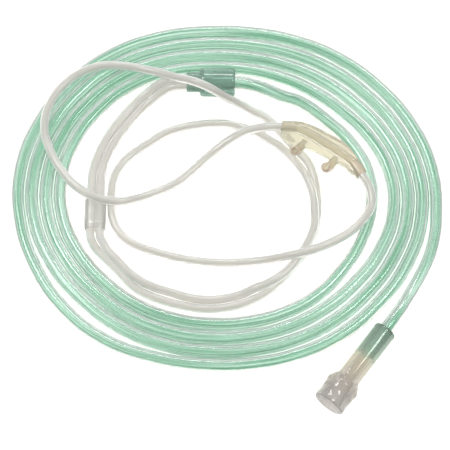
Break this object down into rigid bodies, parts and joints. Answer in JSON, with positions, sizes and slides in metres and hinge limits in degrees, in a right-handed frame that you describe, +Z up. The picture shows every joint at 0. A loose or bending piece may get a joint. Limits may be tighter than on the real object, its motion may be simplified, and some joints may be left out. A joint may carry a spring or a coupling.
{
  "type": "nasal oxygen cannula",
  "caption": "Soft nose piece on thin looped tubes with a slider, joined by a connector to a coiled green oxygen supply tube that ends in a flared connector.",
  "frame": {"origin": "on the table, in the middle of the ground that the nose piece, slider, Y connector and end connector cover", "axes": "+Z up from the table, +X to the right and +Y away from the viewer of the picture, the slider's tubes run along Y"},
  "size_m": [0.1903, 0.1853, 0.0166],
  "materials": {
    "green_clear_pvc": "glossy, translucent, fine lengthwise ribs",
    "clear_pvc": "glossy, clear",
    "cream_soft_pvc": "satin, soft, translucent",
    "grey_clear_sleeve": "glossy, translucent",
    "smoke_green_pvc": "glossy, translucent",
    "grey_clear_pvc": "glossy, translucent"
  },
  "bodies": {
    "cannula": {"nasal_faceplate": "cream_soft_pvc", "y_connector": "smoke_green_pvc", "end_connector": "grey_clear_pvc", "lariat_tube_left": "clear_pvc", "lariat_tube_right": "clear_pvc", "supply_coil": "green_clear_pvc", "supply_tube_start": "green_clear_pvc", "supply_tube_tail": "green_clear_pvc"},
    "slider": {"tube_slider": "grey_clear_sleeve"}
  },
  "joints": [
    {"name": "slider_slide", "type": "slide", "parent": "cannula", "child": "slider", "axis": [0, 1, 0], "range_m": [0, 0.005]}
  ]
}
